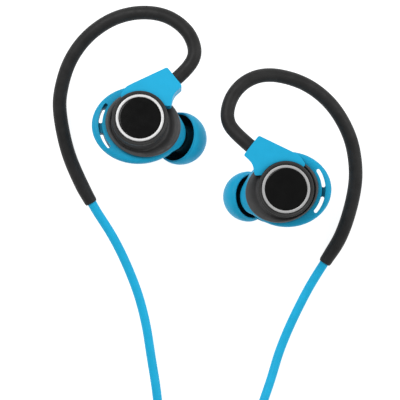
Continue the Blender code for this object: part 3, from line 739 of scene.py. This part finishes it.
def fin_ring(angle, degrees, amount):
    """One section of the fin, from its seat on the shell, round its edge, and back over its top."""
    wing = fade(degrees, 75, 105) * (1 - fade(degrees, 305, 330))
    foot = [(reach(outline, angle) + 0.06, height) for outline, height in SHELL_FOOT]
    edge, rim = amount * reach(WING, angle), reach(FLANGE, angle, FLANGE_TURN)
    sleeve = larger(reach(SLEEVE, angle), rim + 0.45, 0.6)
    lip = [(foot[2][0] + 0.35, -10.35), (foot[2][0] + 0.9, -10.4)]
    thick = (WING_TOP - WING_UNDER) / 2
    middle = WING_TOP - thick
    wing_side = [(foot[1][0] + 0.8, -9.75), (foot[1][0] + 1.6, -9.42), (edge - 1.9, -9.32)]
    wing_side += [(edge - 1.05 + 1.05 * math.sin(a) ** 0.9, middle - thick * math.cos(a))
                  for a in (math.pi * k / 8 for k in range(1, 8))]
    wing_side += [(edge - 1.2, WING_TOP), (edge - 2.0, WING_TOP), (rim - 0.5, WING_TOP)]
    tip_side = [(sleeve - 1.5, -10.25), (sleeve - 0.9, -10.05), (sleeve - 0.4, -9.75),
                (sleeve - 0.15, -9.4), (sleeve - 0.03, -9.1), (sleeve, -8.85),
                (0.1 * rim + 0.9 * sleeve, -8.5), (0.25 * rim + 0.75 * sleeve, -8.1),
                (0.45 * rim + 0.55 * sleeve, -7.7), (0.7 * rim + 0.3 * sleeve, -7.3),
                (rim + 0.02, -6.95), (rim, -6.7), (rim - 0.5, WING_TOP)]
    blend = [(t[0] + wing * (w[0] - t[0]), t[1] + wing * (w[1] - t[1]))
             for w, t in zip(wing_side, tip_side)]
    seat = [(rim - 0.9, -6.45), (foot[0][0] + 0.35, -6.36)]
    return [Vector((FIN_CENTRE[0] + r * math.cos(angle), FIN_CENTRE[1] + r * math.sin(angle), z))
            for r, z in foot + lip + blend + seat]


def ear_fin(ear, looks):
    """The silicone sleeve, with the flat wing on its far side, two slots, and between them a
    sunk bridge."""
    side, count = ear["side"], 240
    rings = [fin_ring(2 * math.pi * i / count, 360.0 * i / count, ear["spread"])
             for i in range(count)]
    obj = piece(f"{side}_fin_sleeve", loft(rings, closed=True), frame_of=ear, sharp=60)
    low, high = WING_UNDER - 1.5, WING_TOP + 1.0
    step = ear["slot_step"]
    bridge = (UPPER_SLOT[0] if step else UPPER_SLOT[1] - 3, LOWER_SLOT[0] + 3)
    carve(obj, slot_cutter(f"{side}_upper", ear, (UPPER_SLOT[0] + step, UPPER_SLOT[1]), low, high),
          slot_cutter(f"{side}_lower", ear, LOWER_SLOT, low, high),
          slot_cutter(f"{side}_bridge", ear, bridge, WING_TOP - 1.1, high, rounded=bool(step)),
          width=0.1)
    return finish_piece(obj, looks["silicone_fin"], "blue_silicone", f"{side}_ear_fin")


# Corners of the arm's outline, and the radius that each one is rounded with
ARM_OUTLINE = [(6.8, 13.4), (10.6, 8.5), (9.45, 7.5), (8.7, 6.7), (8.25, 5.8), (8.05, 4.9),
               (7.8, 3.4), (6.0, 3.5), (-3.6, 4.9), (-5.0, 6.1), (-3.5, 8.35), (-2.2, 9.07)]
ARM_ROUNDS = [0.55, 0.6, 1.2, 1.2, 1.2, 1.2, 0.5, 0.8, 0.8, 0.9, 1.0, 1.2]


def rounded_outline(points, radii, steps=6):
    """A closed outline with each corner cut to a round of its own radius."""
    result = []
    count = len(points)
    for i, corner in enumerate(points):
        corner = Vector((*corner, 0))
        before, after = Vector((*points[i - 1], 0)), Vector((*points[(i + 1) % count], 0))
        to_before, to_after = before - corner, after - corner
        reach_back = min(radii[i], to_before.length * 0.45, to_after.length * 0.45)
        a = corner + to_before.normalized() * reach_back
        b = corner + to_after.normalized() * reach_back
        for k in range(steps + 1):
            t = k / steps
            result.append(a * (1 - t) ** 2 + corner * 2 * t * (1 - t) + b * t * t)
    return result


def hook_arm(ear, looks):
    """The flat arm with rounded edges that wraps the cap and holds the hook in its bore."""
    side = ear["side"]
    bm = prism(rounded_outline(ARM_OUTLINE, ARM_ROUNDS), ARM_UNDER, ARM_TOP)
    obj = piece(f"{side}_arm_body", bm, frame_of=ear, sharp=0)
    cap_hole = turned([(CAP_RADIUS + 0.07, ARM_UNDER - 1), (CAP_RADIUS + 0.07, ARM_TOP + 1)], 128)
    seat = flare_rings(ear, SHELL_RINGS[1:10], grow=0.1, lift=0.1)
    seat.append([Vector((p.x, p.y, WING_TOP - 1.0)) for p in seat[-1]])
    bore = turned([(HOOK_RADIUS + 0.06, -HOOK_IN_ARM - 0.3), (HOOK_RADIUS + 0.06, 1.0)], 64)
    at = Matrix.Translation(HOOK_MOUTH) @ facing(HOOK_WAY)
    carve(obj, cutter(f"{side}_cap_hole", cap_hole, ear), cutter(f"{side}_seat", loft(seat), ear),
          cutter(f"{side}_bore", bore, ear, at), width=0.38, segments=5)
    return finish_piece(obj, looks["plastic"], "blue_plastic", f"{side}_hook_arm")


def hook_line(ear):
    """Middle line of the hook, from inside the arm round the loop to the tail on the table."""
    start = ear_matrix(ear) @ (HOOK_MOUTH - HOOK_WAY * HOOK_IN_ARM)
    mouth = ear_matrix(ear) @ HOOK_MOUTH
    route = [start, mouth] + [Vector((x, y, 0)) for x, y in HOOK_ROUTES[ear["side"]]]
    lengths = [0.0]
    for a, b in zip(route[1:], route[2:]):
        lengths.append(lengths[-1] + (b - a).xy.length)
    for point, length in zip(route[2:], lengths[1:]):
        left = 1 - length / lengths[-1]
        point.z = TAIL_HEIGHT + (mouth.z - TAIL_HEIGHT) * left ** 1.25
    return evenly(softened(smooth_curve(route, 0.8), 3), 0.5)


def ear_hook(ear, looks):
    """The soft tube: it narrows a little at its tail, where the cord goes in through a
    rounded mouth."""
    side = ear["side"]
    line = hook_line(ear)
    length = 0.5 * (len(line) - 1)

    def outside(fraction):
        from_end = (1 - fraction) * length
        tail = HOOK_RADIUS - 0.14 * (1 - fade(from_end, 0.4, 5.0))
        return tail - 0.18 * (1 - min(from_end, 0.3) / 0.3) ** 2

    rings = tube_rings(line, outside, 48)
    bore = tube_rings(line[-5:], CORD_RADIUS + 0.04, 48)
    closing = tube_rings(line[-6:-4], 0.4, 48)[:1]
    bm = loft(rings + bore[::-1] + closing)
    obj = piece(f"{side}_hook_tube", bm, sharp=50)
    return finish_piece(obj, looks["rubber"], "black_rubber", f"{side}_ear_hook",
                        f"{side}_memory_wire", f"{side}_hook_lead")


# --- Control pod ---
POD_PLACE = Matrix.Translation(POD_CENTRE)
UPRIGHT = Matrix.Rotation(math.radians(90), 4, "Y")  # for what is in the pod's long side
BUTTON_SPACING, BUTTON_RADIUS, BUTTON_TOP = 8.5, 2.4, 7.8
LIGHT_Y = 14.2  # the microphone is as far from the middle, at the other end
SOCKET_Y, SOCKET_Z, PORT_LENGTH, PORT_HEIGHT = -8.0, 2.3, 7.2, 2.3
FLAP_THICKNESS = 0.8


def stadium(inset, height, corner=3.6, steps=16):
    """The pod's outline at one height, drawn in by inset."""
    half_x, half_y = POD_WIDTH / 2 - inset, POD_LENGTH / 2 - inset
    radius = max(corner - inset * 0.8, 0.6)
    ring = []
    for quarter in range(4):
        middle = Vector(((half_x - radius) * (1, -1, -1, 1)[quarter],
                         (half_y - radius) * (1, 1, -1, -1)[quarter], height))
        for i in range(steps + 1):
            angle = math.radians(90 * quarter + 90 * i / steps)
            ring.append(middle + radius * Vector((math.cos(angle), math.sin(angle), 0)))
    return ring


def stacked(profile):
    return loft([stadium(inset, height) for inset, height in profile])


def drill(name, radius, low, high, at):
    return cutter(name, turned([(radius, low), (radius, high)], 64), at=POD_PLACE @ at)


def bar(size, corner, low, high):
    """An upright bar with round corners, size = (x, y)."""
    x, y = size[0] / 2, size[1] / 2
    outline = rounded_outline([(x, y), (-x, y), (-x, -y), (x, -y)], [corner / 0.6] * 4, 8)
    return prism(outline, low, high)


def outlets(name):
    """Cutters for the cord's way out at both ends of the pod."""
    along = Matrix.Rotation(math.radians(-90), 4, "X")
    tools = []
    for end in (-1, 1):
        at = Matrix.Translation((0, end * POD_LENGTH / 2, POD_AXIS_HEIGHT)) @ along
        tools.append(drill(f"{name}_outlet_{end}", 1.25, -2.0, 2.0, at))
    return tools


def pod_base(looks):
    under = [(0.9, 0.0), (0.72, 0.02)]
    foot = [(0.72 * (1 - math.sin(a)), 0.72 * (1 - math.cos(a)) + 0.02)
            for a in (math.radians(d) for d in (15, 30, 45, 60, 75, 90))]
    side = [(0.0, 2.0), (0.0, POD_BASE_TOP - 0.15), (0.1, POD_BASE_TOP), (1.0, POD_BASE_TOP)]
    inside = [(1.0, 1.4), (1.4, 1.0)]
    obj = piece("pod_tray", stacked(under + foot + side + inside), place=POD_PLACE, sharp=45)
    at = Matrix.Translation((POD_WIDTH / 2, SOCKET_Y, SOCKET_Z)) @ UPRIGHT
    port = cutter("port", bar((PORT_HEIGHT, PORT_LENGTH), 0.9, -2.0, 2.0), at=POD_PLACE @ at)
    carve(obj, port, *outlets("tray"), width=0.1)
    return finish_piece(obj, looks["pod"], "pod_shell", "pod_base")


def pod_cover(looks):
    low = POD_BASE_TOP + 0.06
    crown = [(1.15 * (1 - math.sin(a)), POD_TOP - 0.25 - 1.0 * (1 - math.cos(a)))
             for a in (math.radians(d) for d in range(90, 0, -11))]
    outside = [(0.1, low), (0.0, low + 0.15)] + crown
    outside += [(1.6, POD_TOP - 0.12), (2.3, POD_TOP - 0.03), (3.2, POD_TOP)]
    inside = [(3.2, 6.0), (1.0, 6.0), (1.0, low)]
    obj = piece("pod_lid", stacked(inside + outside), place=POD_PLACE, sharp=45)
    tools = outlets("lid")
    for i in (-1, 0, 1):
        at = Matrix.Translation((0, i * BUTTON_SPACING, 0))
        tools.append(drill(f"lid_button_{i}", BUTTON_RADIUS + 0.12, 5.0, POD_TOP + 1.0, at))
    for name, radius, y in (("light", 0.75, LIGHT_Y), ("microphone", 0.42, -LIGHT_Y)):
        tools.append(drill(f"lid_{name}", radius, 5.0, POD_TOP + 1.0, Matrix.Translation((0, y, 0))))
    carve(obj, *tools, width=0.12)
    return finish_piece(obj, looks["pod"], "pod_shell", "pod_cover")


def mark(kind):
    """A plain raised mark for a button's top, as one or two bars or an open ring."""
    low, high = BUTTON_TOP - 0.3, BUTTON_TOP
    if kind == "ring":
        return turned([(0.95, low), (0.95, high - 0.03), (0.9, high), (0.62, high),
                       (0.57, high - 0.03), (0.57, low)], 64, closed=True)
    bm = bar((2.1, 0.42), 0.15, low, high)
    if kind == "plus":
        joined(bm, bar((0.42, 2.1), 0.15, low, high - 0.005))
    return bm


def pod_buttons(looks):
    made = []
    for i, name, kind in ((1, "volume_up", "plus"), (0, "play", "ring"), (-1, "volume_down", "minus")):
        top = BUTTON_TOP - 0.12
        profile = [(BUTTON_RADIUS + 0.6, 5.45), (BUTTON_RADIUS + 0.6, 5.8), (BUTTON_RADIUS, 5.85)]
        profile += arc((BUTTON_RADIUS - 0.3, top - 0.3), 0.3, 0, 75, 5)
        profile += [(1.7, top - 0.06), (1.3, top - 0.12), (0.7, top - 0.14)]
        bm = joined(turned(profile, 96), mark(kind))
        at = POD_PLACE @ Matrix.Translation((0, i * BUTTON_SPACING, 0))
        obj = piece(f"{name}_cap", bm, body=name, place=at, sharp=50)
        node = f"{name}_button"
        made.append(finish_piece(obj, looks["silicone_fin"], "blue_silicone", node))
    return made


def status_light(looks):
    profile = [(0.6, 5.3), (0.6, POD_TOP - 0.25)] + [
        (0.6 * math.cos(math.radians(d)), POD_TOP - 0.25 + 0.2 * math.sin(math.radians(d)))
        for d in (15, 30, 45, 60, 75)]
    obj = piece("status_lens", turned(profile, 48),
                place=POD_PLACE @ Matrix.Translation((0, LIGHT_Y, 0)), sharp=60)
    return finish_piece(obj, looks["lens"], "led_lens", "status_light")


def pod_relief(end, looks):
    """A tapered sleeve with grooves, which lets the cord bend gently."""
    profile = [(1.25, 0.0), (2.1, 0.0), (2.3, 0.15), (2.3, 0.75), (2.2, 0.9)]
    for k in range(4):
        z, r = 1.15 + 0.95 * k, 2.12 - 0.17 * k
        profile += [(r, z), (r - 0.28, z + 0.1), (r - 0.3, z + 0.38), (r - 0.1, z + 0.5),
                    (r - 0.12, z + 0.75)]
    profile += [(1.5, 4.88), (1.35, 5.0), (1.16, 5.0), (1.13, 4.8), (1.13, 0.0)]
    turn = Matrix.Rotation(math.radians(-90 * end), 4, "X")
    at = Matrix.Translation((0, end * (POD_LENGTH / 2 + 0.06), POD_AXIS_HEIGHT)) @ turn
    side = "right" if end > 0 else "left"
    bm = turned(profile, 64, closed=True)
    obj = piece(f"{side}_strain_relief", bm, place=POD_PLACE @ at, sharp=35)
    return finish_piece(obj, looks["rubber"], "black_rubber", f"pod_relief_{side}")


def port_flap(looks):
    """The rubber cover of the charging port, with a raised panel on its face."""
    length, thick, height = PORT_LENGTH + 1.6, FLAP_THICKNESS, PORT_HEIGHT + 0.6
    hinge_y = SOCKET_Y + PORT_LENGTH / 2 + 0.6
    bm = bar((height, length), 1.0, -thick / 2, thick / 2 - 0.15)
    joined(bm, bar((height - 0.9, length - 0.9), 0.8, 0.1, thick / 2))
    middle = (POD_WIDTH / 2 + 0.3 + thick / 2, hinge_y - length / 2 + 0.4, SOCKET_Z)
    at = Matrix.Translation(middle) @ UPRIGHT
    obj = piece("port_flap_cover", bm, body="port_flap", place=POD_PLACE @ at, sharp=0)
    carve(obj, width=0.12)
    return finish_piece(obj, looks["rubber"], "black_rubber", "port_cover")


def cord_keeper(looks):
    """A soft clip over the stored turns."""
    near, far, top, wall = 8.68, 15.72, 4.72, 0.85
    section = [(near - wall, 0.45), (near - wall, top + wall), (far + wall, top + wall),
               (far + wall, 0.45), (far, 0.45), (far, top), (near, top), (near, 0.45)]
    rings = [[Vector((x, y, z)) for x, z in section] for y in (-2.0, 2.0)]
    turn = Matrix.Rotation(math.radians(205), 4, "Z")
    at = Matrix.Translation(COIL_CENTRE) @ turn
    obj = piece("stored_turns_clip", loft(rings), place=at, sharp=0)
    carve(obj, width=0.3, segments=4)
    return finish_piece(obj, looks["rubber"], "black_rubber", "cord_keeper")


def tube_rubber(name, colour, roughness):
    """Matte rubber: fine grain, faint handling marks and a trace of dust."""
    m = Nodes(name, colour, roughness)
    tone = m.mottled(m.noise(300.0, 5.0, 0.6), colour, 0.8, 1.25, edge=0.35)
    tone = m.worn_edges(tone, shade(colour, 2.2), 0.4)
    m.colour(tone)
    m.roughness(m.noise(800.0, 3.0), roughness - 0.05, roughness + 0.08)
    m.bump(m.noise(6500.0, 3.0, 0.6), 0.35, 0.00002)
    m.bump(m.noise(240.0, 2.0), 0.25, 0.00008)
    m.fix("Specular IOR Level", 0.2)
    return m.material


def turned_metal(name, colour, roughness, ear):
    """Metal with fine turned rings about the middle of one cap."""
    m = Nodes(name, colour, roughness, 0.35)
    mapping = m.node("Mapping", Location=tuple(-c * MM for c in ear["cap"]))
    m.link(m.place, mapping.inputs["Vector"])
    waves = m.node("TexWave", Scale=1900.0, Distortion=0.6)
    waves.wave_type, waves.rings_direction = "RINGS", "Z"
    m.link(mapping.outputs["Vector"], waves.inputs["Vector"])
    m.bump(waves.outputs["Fac"], 0.06, 0.00001)
    m.roughness(m.noise(900.0, 4.0), roughness - 0.08, roughness + 0.1)
    tone = m.mottled(m.noise(500.0, 3.0), colour, 0.93, 1.05)
    m.colour(tone)
    return m.material


def metal(name, colour, roughness, stretch=(1.0, 1.0, 1.0)):
    """Plain metal, faintly mottled, its grain drawn out along one axis where stretch says so."""
    m = Nodes(name, colour, roughness, 1.0)
    tone = m.mottled(m.noise(600.0, 4.0, 0.6, stretch), colour, 0.85, 1.1)
    m.colour(tone)
    m.roughness(m.noise(1500.0, 3.0, 0.5, stretch), roughness - 0.1, roughness + 0.12)
    m.bump(m.noise(3000.0, 2.0, 0.5, stretch), 0.2, 0.00001)
    return m.material


def gloss_badge(name, colour):
    """Polished black lacquer with hairline swirls and a little haze from touch."""
    m = Nodes(name, colour, 0.16)
    m.roughness(m.noise(260.0, 4.0, 0.6), 0.10, 0.26)
    tone = m.mottled(m.noise(420.0, 3.0), colour, 0.8, 1.3)
    m.colour(tone)
    m.bump(m.noise(2600.0, 2.0), 0.05, 0.000006)
    m.fix("Specular IOR Level", 0.12)
    return m.material


def circuit_board(name):
    """Green solder mask over copper tracks."""
    m = Nodes(name, (0.01, 0.12, 0.05), 0.4)
    tracks = m.node("TexBrick", Scale=700.0, Mortar_Size=0.03, Color1=(0.010, 0.13, 0.05, 1),
                    Color2=(0.012, 0.17, 0.07, 1), Mortar=(0.06, 0.32, 0.12, 1))
    m.link(m.place, tracks.inputs["Vector"])
    m.colour(tracks.outputs["Color"])
    m.bump(tracks.outputs["Fac"], 0.2, 0.00003)
    m.roughness(m.noise(500.0), 0.3, 0.5)
    return m.material


def lens(name, colour):
    """A milky light pipe."""
    m = Nodes(name, colour, 0.18)
    tone = m.mottled(m.noise(900.0), colour, 0.9, 1.05)
    m.colour(tone)
    m.roughness(m.noise(1200.0), 0.12, 0.28)
    m.fix("Subsurface Weight", 0.4)
    m.fix("Subsurface Scale", 0.0008)
    m.fix("Transmission Weight", 0.25)
    return m.material


FIN_BLUE = (0.010, 0.325, 0.545)
TIP_BLUE = (0.012, 0.355, 0.590)
ARM_BLUE = (0.016, 0.390, 0.660)
CORD_BLUE = (0.014, 0.400, 0.670)
BLACK, SHELL_GREY, CAP_GREY = (0.016, 0.016, 0.016), (0.074, 0.074, 0.075), (0.036, 0.036, 0.036)

looks = {
    "silicone_fin": silicone("fin_silicone", FIN_BLUE, 0.40, soft=0.08),
    "silicone_tip": silicone("tip_silicone", TIP_BLUE, 0.42, soft=0.05),
    # The tip's core stands for blue silicone in shadow: its near-black colour is painted shade
    "core": silicone("tip_painted_shade_silicone", (0.002, 0.026, 0.040), 0.5),
    "plastic": moulded("arm_plastic", ARM_BLUE, 0.36, mottle=0.03, rubbed=0.0),
    "cord": moulded("cord_sheath", CORD_BLUE, 0.42, grain=0.00002, scale=5200.0, mottle=0.05,
                    rubbed=0.0),
    "rubber": tube_rubber("hook_rubber", BLACK, 0.52),
    "shell": moulded("shell_plastic", SHELL_GREY, 0.36, mottle=0.10),
    "cap": moulded("cap_plastic", CAP_GREY, 0.36, mottle=0.10),
    "pod": moulded("pod_plastic", (0.024, 0.025, 0.027), 0.42, mottle=0.12),
    "badge": gloss_badge("badge_lacquer", (0.003, 0.003, 0.003)),
    "steel": metal("spring_steel", (0.56, 0.56, 0.57), 0.34),
    "copper": metal("copper_wire", (0.70, 0.33, 0.19), 0.34),
    "foil": metal("battery_wrap", (0.55, 0.57, 0.60), 0.38, (1.0, 4.0, 1.0)),
    "board": circuit_board("solder_mask"),
    "lens": lens("light_pipe", (0.72, 0.82, 0.92)),
}


def earphone(ear):
    # The ring's grey holds painted light: the left ring, leaning towards the key light, is painted
    # lighter
    silver = (ear["silver"],) * 3
    looks["silver"] = turned_metal(f"{ear['side']}_satin_silver", silver, 0.48, ear)
    for make in (badge, trim_ring, outer_cap, rear_shell, nozzle_screen, ear_tip, ear_fin, hook_arm,
                 ear_hook):
        make(ear, looks)


def repaint(node_name, material):
    """A hidden or plain CAD piece keeps its shape and takes one of the materials above."""
    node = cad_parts[node_name]
    for k in range(len(node.material_slots)):
        node.material_slots[k].material = material
    return node


earphone(LEFT)
earphone(RIGHT)
for side in ("left", "right"):
    repaint(f"{side}_driver", looks["copper"])
pod_pieces = [pod_base(looks), pod_cover(looks), *pod_buttons(looks), status_light(looks),
              pod_relief(-1, looks), pod_relief(1, looks), port_flap(looks),
              repaint("pod_circuit_board", looks["board"]),
              repaint("pod_battery", looks["foil"]),
              repaint("charge_socket", looks["steel"]),
              repaint("microphone", looks["steel"])]
neck_cord(looks["cord"], cord_keeper(looks))


# --- Floor and light: pale and soft, a key from the top left and a weaker fill from the right ---
def floor():
    bm = bmesh.new()
    size = 1500.0
    corners = [(-size, -size, -0.05), (size, -size, -0.05), (size, size, -0.05), (-size, size, -0.05)]
    bm.faces.new([bm.verts.new(Vector(p) * MM) for p in corners])
    mesh = bpy.data.meshes.new("floor")
    bm.to_mesh(mesh)
    bm.free()
    obj = linked("floor", mesh)
    m = Nodes("pale_floor", (0.42, 0.42, 0.42), 0.9)
    m.fix("Emission Color", (1.0, 1.0, 1.0, 1.0))
    m.fix("Emission Strength", 0.86)
    obj.data.materials.append(m.material)


def area_light(name, location, size, energy):
    data = bpy.data.lights.new(name, "AREA")
    data.shape = "DISK"
    data.size, data.energy = size, energy
    obj = linked(name, data)
    obj.location = location
    obj.rotation_euler = (-Vector(location)).to_track_quat("-Z", "Y").to_euler()


def light():
    world = bpy.data.worlds.new("studio")
    world.use_nodes = True
    sky = world.node_tree.nodes["Background"].inputs
    sky["Color"].default_value = (1.0, 1.0, 1.0, 1.0)
    sky["Strength"].default_value = 0.54
    bpy.context.scene.world = world
    area_light("key", (-0.4, 0.5, 0.75), 0.5, 5.0)
    area_light("fill", (0.65, 0.15, 0.45), 0.5, 2.1)
    bpy.context.scene.view_settings.view_transform = "Standard"


floor()
light()
